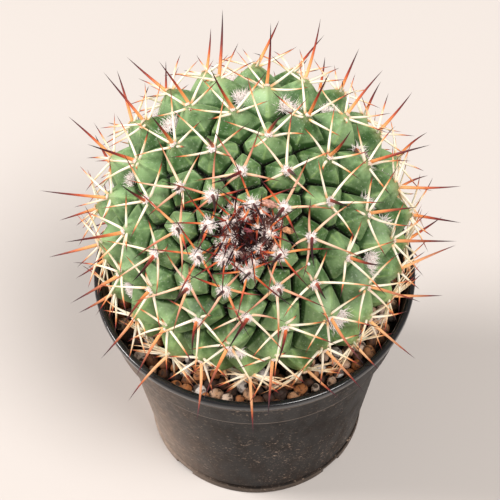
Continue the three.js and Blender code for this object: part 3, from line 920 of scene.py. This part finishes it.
# The wool glows faintly in its own colour: painted light, in place of light passing through the hairs.
white_wool = material("areole_wool", wool_finish, Roughness=0.95, Specular_IOR_Level=0.1,
                      Emission_Strength=0.15)
tufts = needle_object("areole_wool", tuft_root, tuft_tip, HAIR_THICKNESS, bow=0, rings=2, sides=3,
                      made_of=white_wool, fade=tuft_fade[tuft])
wool = needle_object("loose_wool", hair_root, hair_tip, HAIR_THICKNESS, hair_bow, rings=3, sides=3,
                     made_of=white_wool, fade=hair_fade)
pads = mesh_object("areole_felt", pad_points, copies(pad_faces, len(pad), len(tuft_size)), white_wool,
                   fade=0.20 + 0.80 * tuft_fade)
for made in (tufts, wool, pads):
    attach(made, "root")
    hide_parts("cactus")


# The youngest spines: three from each of the areoles that still crowd round the growing point, and
# in the middle a knot of thin dark ones whose areoles are buried in the wool of the crown.
YOUNG_EACH = 3
YOUNG_THICKNESS = 0.00068
YOUNG_LENGTH = 0.0078
YOUNG_SINK = 0.0004
SMALL_AREOLE_RADIUS = 0.0006
YOUNG_RISE = 44
YOUNG_RISE_SPREAD = 14
YOUNG_BOW = 0.00010
FIRST_KNOT = 500
KNOT_SPINES = 30
KNOT_THICKNESS = 0.00045
KNOT_LENGTH = 0.0048
KNOT_SINK = 0.0006
KNOT_REACH = 5.5


def young_finish(shade):
    run, tint, knotted = shade.value("run"), shade.value("tint"), shade.value("knotted")
    shift = run + 0.06 + (tint - 0.5) * 0.35 + knotted * 0.46
    return {"Base_Color": shift.ramp([(0.0, (0.86, 0.36, 0.12)), (0.26, (0.72, 0.18, 0.055)),
                                      (0.46, (0.36, 0.040, 0.020)), (0.66, (0.10, 0.012, 0.014)),
                                      (0.88, (0.018, 0.006, 0.010))])}


pick = np.repeat(np.arange(YOUNG_AREOLES), YOUNG_EACH)
item = np.arange(len(pick)) + 50
round_areole = 2 * pi * (np.arange(len(pick)) % YOUNG_EACH + 0.45 * draw(item, 1)) / YOUNG_EACH
flat = swing(round_areole, young_out[pick], np.cross(young_up, young_out)[pick])
young_root = young_middle[pick] - YOUNG_SINK * young_up[pick] + SMALL_AREOLE_RADIUS * flat
rise = np.radians(YOUNG_RISE + YOUNG_RISE_SPREAD * draw(item, 2))
young_way = swing(rise, flat, young_up[pick])
young_tip = young_root + (YOUNG_LENGTH * (0.95 + 0.25 * draw(item, 5)))[:, None] * young_way

knot = np.arange(KNOT_SPINES) + FIRST_KNOT
knot_off = filled_ring(0, KNOT_REACH, KNOT_SPINES)
knot_up = round_axis(growing_point, knot_off, np.degrees(knot * GOLDEN_ANGLE))
knot_root = BODY_MIDDLE + (felt_height(knot_up) - KNOT_SINK)[:, None] * knot_up
knot_way = unit(0.55 * knot_up + unit(draws(knot, 2)))
knot_tip = knot_root + (KNOT_LENGTH * (1 + 0.3 * draw(knot, 5)))[:, None] * knot_way

item = np.concatenate([item, knot])
crown_spines = needle_object(
    "crown_spines", np.concatenate([young_root, knot_root]), np.concatenate([young_tip, knot_tip]),
    np.where(item < FIRST_KNOT, YOUNG_THICKNESS, KNOT_THICKNESS), YOUNG_BOW * draws(item, 6),
    rings=6, sides=5, made_of=material("young_horn", young_finish, Roughness=0.42),
    tint=0.5 + 0.5 * draw(item, 9), knotted=item >= FIRST_KNOT)
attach(crown_spines, "root")
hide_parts("cactus")


# The felt of the crown: a shallow cap of matted wool and dark scales over the growing point, from
# which the youngest spines stand. A plain underside inside the body closes it.
FELT_REACH = 12.0
FELT_UNDERSIDE = 0.0445
FELT_RIPPLE = 0.0003
CAP_RINGS = 12
CAP_TURNS = 40


def felt_finish(shade):
    clump = shade.noise(480.0, 4.0).between(0.46, 0.62) * shade.value("off").between(3.6, 6.5)
    scales = shade.noise(330.0, 3.0).between(0.45, 0.60)
    dark = scales.mix((0.012, 0.006, 0.006), (0.080, 0.024, 0.016))
    return {"Base_Color": (clump * 0.5).mix(dark, (0.36, 0.22, 0.19))}


cap_off, cap_turn = np.meshgrid(np.linspace(0, FELT_REACH, CAP_RINGS),
                                np.arange(CAP_TURNS) * 360 / CAP_TURNS, indexing="ij")
cap_way = round_axis(growing_point, cap_off, cap_turn)
ripple = FELT_RIPPLE * np.sin(9 * np.radians(cap_turn) + 1.3 * cap_off) * np.sin(0.9 * cap_off)
cap_top = BODY_MIDDLE + (felt_height(cap_way) + ripple)[..., None] * cap_way
cap_low = BODY_MIDDLE + FELT_UNDERSIDE * cap_way[::-1]
cap = tidy(mesh_object("crown_felt", np.concatenate([cap_top, cap_low]),
                       grid_faces(2 * CAP_RINGS, CAP_TURNS),
                       material("crown_felt", felt_finish, Roughness=0.95, Specular_IOR_Level=0.1),
                       off=np.concatenate([cap_off, cap_off[::-1]])))
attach(cap, "root")
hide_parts("cactus")


# The old spines: the lowest areoles keep their dry, straw-coloured spines, which lie tangled
# between the body and the pot's wall and stick out in a fringe all round.
OLD_EACH = 8
OLD_THICKNESS = 0.00062
OLD_LENGTH = 0.0135
OLD_BOW = 0.0007
OLD_SIDEWAYS = 92
OLD_SPREAD = 42
OLD_RISE = 10
OLD_RISE_SPREAD = 11
OLD_ROOT_DROP = 0.06
OLD_STEP = 40
OLD_LOWEST = 0.0835
OLD_HIGHEST = 0.112
OLD_FRONT_DROP = 0.013


def straw_finish(shade):
    run, tint = shade.value("run"), shade.value("tint")
    grain = shade.noise(700.0, 3.0)
    shift = run + (tint - 0.5) * 0.3 + (grain - 0.5) * 0.25
    straw = shift.ramp([(0.0, (0.84, 0.58, 0.34)), (0.20, (0.96, 0.82, 0.62)),
                        (0.58, (0.92, 0.68, 0.44)), (0.78, (0.62, 0.27, 0.11)),
                        (0.97, (0.18, 0.050, 0.035))])
    return {"Base_Color": straw, "Emission_Color": straw}


height = BODY_MIDDLE[2] + normal[:, 2] * TIP_RADIUS
highest = OLD_HIGHEST - OLD_FRONT_DROP * np.clip(-1.5 * normal[:, 1], 0, 1)
old = np.flatnonzero((height > OLD_LOWEST) & (height < highest) & (step > OLD_STEP))
old = np.repeat(old, OLD_EACH)
item = np.arange(len(old)) + 300
sideways = np.where(np.arange(len(old)) % 2 == 0, 1, -1) * radians(OLD_SIDEWAYS)
round_areole = sideways + radians(OLD_SPREAD) * draw(item, 1)
flat = swing(round_areole, outward[old], side[old])
rise = np.radians(OLD_RISE + OLD_RISE_SPREAD * draw(item, 2))
old_root = skin_point(normal[old], step[old], OLD_ROOT_DROP) + SMALL_AREOLE_RADIUS * flat
old_way = swing(rise, flat, normal[old])
old_length = OLD_LENGTH * (1 + 0.3 * draw(item, 3))
old_tip = clear_tip(old_root, old_root + old_length[:, None] * old_way)
# The straw horn glows faintly in its own colour: painted light, in place of light passing through it.
straw_horn = material("straw_horn", straw_finish, Roughness=0.6, Specular_IOR_Level=0.2,
                      Emission_Strength=0.06)
old_spines = needle_object("old_spines", old_root, old_tip, OLD_THICKNESS, OLD_BOW * draws(item, 4),
                           rings=6, sides=5, made_of=straw_horn, tint=0.5 + 0.5 * draw(item, 7))
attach(old_spines, "root")
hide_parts("cactus")


# The dry scraps: bits of dead flower and husk caught among the spines, and one white bead of
# mineral. Each is given by its angles from the crown and round it, its size and its tone.
SCRAPS = (
    dict(off=25, turn=-20, lift=0.0008, size=(0.0005, 0.0005, 0.0005), tone=1.0),
    dict(off=5, turn=38, lift=0.0022, size=(0.0013, 0.0006, 0.0005), tone=0.75),
    dict(off=16, turn=46, lift=0.0012, size=(0.0021, 0.0011, 0.0005), tone=0.25),
    dict(off=17, turn=10, lift=0.0008, size=(0.0019, 0.0009, 0.0006), tone=0.50),
    dict(off=64, turn=33, lift=-0.0048, size=(0.0030, 0.0014, 0.0009), tone=0.0),
    dict(off=65, turn=30, lift=-0.0052, size=(0.0022, 0.0010, 0.0008), tone=0.1),
)
BEAD_TONE = 1.0
RAGGED = 0.30
CURLED = 0.5


def scrap_finish(shade):
    """Husk, petal and mineral, by tone, the dry ones blotched with brown."""
    tone, grain = shade.value("tone"), shade.noise(1500.0, 4.0)
    hue = tone.ramp([(0.00, (0.14, 0.055, 0.030)), (0.25, (0.64, 0.340, 0.260)),
                     (0.50, (0.75, 0.37, 0.18)), (0.75, (0.36, 0.070, 0.095)),
                     (1.00, (0.88, 0.86, 0.84))])
    blotch = grain.between(0.40, 0.62) * (1 - tone.between(0.9, 1.0)) * 0.6
    return {"Base_Color": blotch.mix(hue, (0.16, 0.060, 0.045)), "Normal": grain.bump(0.8, 0.0004)}


scrap_ball, scrap_faces = icosphere(3)
x, y, z = scrap_ball.T[..., None]
scrap_points = []
for scrap in SCRAPS:
    way = round_axis(crown, np.array(scrap["off"]), np.array(scrap["turn"]))
    long_way = unit(np.cross(way, [0.3, 0.8, 0.5]))
    wide_way = np.cross(way, long_way)
    tone = scrap["tone"]
    dry = tone < BEAD_TONE
    ragged = 1 + RAGGED * dry * np.sin(7 * x + 40 * tone) * np.cos(9 * y + 5 * z)
    length, width, thickness = scrap["size"]
    shape = (length * x * long_way + width * y * wide_way
             + thickness * (z + CURLED * dry * x ** 2) * way)
    scrap_points.append(BODY_MIDDLE + (tip_radius(way) + scrap["lift"]) * way + ragged * shape)
scraps = mesh_object("dry_scraps", np.stack(scrap_points),
                     copies(scrap_faces, len(scrap_ball), len(SCRAPS)),
                     material("dry_scraps", scrap_finish, Roughness=0.8),
                     tone=[scrap["tone"] for scrap in SCRAPS])
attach(scraps, "root")
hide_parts("cactus")


# The granules: rounded grains of fired clay, pumice and lava, 3 to 6 mm across, loose on a bed
# of finer grit. The bed is nearly black: its own dark colour and painted shade in the gaps between
# the grains.
SOIL_LEVEL = 0.079
GAP = 0.0004
GRANULE_COUNT = 350
GRANULE_RADIUS = 0.0020
GRANULE_SPREAD = 0.26
GRANULE_LIFT = 0.0005
GRANULE_LIFT_SPREAD = 0.0009
BED_SIDES = 96
PUSHES = 40
PUSH_SHARE = 0.3


def bed_finish(shade):
    # Nearly black: the grit's own dark colour and painted shade for the gaps between the granules.
    grit = shade.noise(700.0, 4.0)
    return {"Base_Color": grit.ramp([(0.3, (0.003, 0.002, 0.0015)), (0.7, (0.020, 0.010, 0.005))]),
            "Roughness": 0.8 + grit * 0.15, "Normal": grit.bump(0.8, 0.001)}


inside = WALL + GAP
soil_edge = mouth_radius(SOIL_LEVEL) - GAP
bed_profile = np.array([
    (0, inside),
    (FLOOR_PAD_RADIUS - 0.001, inside),
    (FLOOR_PAD_RADIUS + 0.001, floor_top + GAP),
    (wall_radius(floor_top) - inside - 0.0024, floor_top + GAP),
    (wall_radius(floor_top + 0.003) - inside, floor_top + 0.003),
    (WALL_TOP_RADIUS - inside, LEDGE + GAP),
    (mouth_radius(LEDGE) - GAP, LEDGE + GAP),
    (soil_edge, SOIL_LEVEL - 0.0024),
    (soil_edge - 0.001, SOIL_LEVEL - 0.0018),
    (0.036, SOIL_LEVEL - 0.0018),
    (0.033, SOIL_LEVEL - 0.0014),
    (0, SOIL_LEVEL - 0.0014),
])
bed = tidy(mesh_object("grit_bed", *turned(bed_profile, BED_SIDES), material("dark_grit_and_shade", bed_finish)))
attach(bed, "root")
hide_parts("substrate")


def granule_finish(shade):
    """Lava, fired clay and pumice, by kind, with dark pores and hollows: painted shade in the pits."""
    rough_stone = shade.noise(900.0, 5.0)
    blotch = shade.noise(260.0, 3.0)
    hue = (shade.value("kind") + (blotch - 0.5) * 0.35).ramp([
        (0.00, (0.030, 0.014, 0.009)), (0.14, (0.085, 0.033, 0.015)), (0.30, (0.220, 0.080, 0.028)),
        (0.46, (0.440, 0.155, 0.045)), (0.60, (0.480, 0.260, 0.140)), (0.76, (0.600, 0.445, 0.350)),
        (0.92, (0.740, 0.660, 0.605))])
    # Painted shade: pores and hollows coloured near black.
    pores = 1 - shade.noise(620.0, 3.0).between(0.36, 0.46)
    hollow = shade.noise(280.0, 1.0).between(0.58, 0.66)
    pit_shade = (pores * 0.8).at_least(hollow * 0.92)
    return {"Base_Color": pit_shade.mix(hue, (0.030, 0.014, 0.008)),
            "Roughness": 0.62 + rough_stone * 0.2, "Normal": (rough_stone - hollow).bump(0.6, 0.0006)}


def settled(middle, size, inner, outer):
    """Circles pushed apart in the plane, inside a ring, until they hardly overlap."""
    alone = np.eye(len(middle))
    for _ in range(PUSHES):
        apart = middle[:, None] - middle
        distance = np.linalg.norm(apart, axis=2) + alone
        overlap = np.clip(size[:, None] + size - distance, 0, None) * (1 - alone)
        middle = middle + PUSH_SHARE * np.sum(apart * (overlap / distance)[..., None], axis=1)
        far = np.linalg.norm(middle, axis=1)
        middle = middle * (np.clip(far, inner, outer - size) / far)[:, None]
    return middle


ball, ball_faces = icosphere(2)
grain = np.arange(GRANULE_COUNT)
grain_size = GRANULE_RADIUS * (1 + GRANULE_SPREAD * draw(grain, 44))
waist = sqrt(CORE_RADIUS ** 2 - (BODY_MIDDLE[2] - ROOT_LEVEL) ** 2)
inner_edge = waist + 0.002
ring = filled_ring(inner_edge, soil_edge - 0.0022, GRANULE_COUNT)
around = grain * GOLDEN_ANGLE
grain_place = settled(np.stack([ring * np.cos(around), ring * np.sin(around)], axis=1),
                      grain_size, inner_edge, soil_edge - 0.0003)
grain_level = SOIL_LEVEL + GRANULE_LIFT + GRANULE_LIFT_SPREAD * draw(grain, 47)
grain_middle = np.column_stack([grain_place, grain_level])
lumps = sum(0.07 * np.sin(3.1 * ball @ unit(draws(grain, 50 + n, apart=3) + 1e-6).T
                          + 6 * draw(grain, 59 + n)) for n in range(3))
squash = 1 + 0.14 * (draws(grain, 48) - np.array([0, 0, 0.6]))
grain_points = (grain_middle[:, None] + grain_size[:, None, None] * (1 + lumps.T)[..., None]
                * ball * squash[:, None])
granules = mesh_object("granules", grain_points, copies(ball_faces, len(ball), GRANULE_COUNT),
                       material("fired_clay", granule_finish), kind=0.5 + 0.5 * draw(grain, 51))
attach(granules, "root")
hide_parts("substrate")
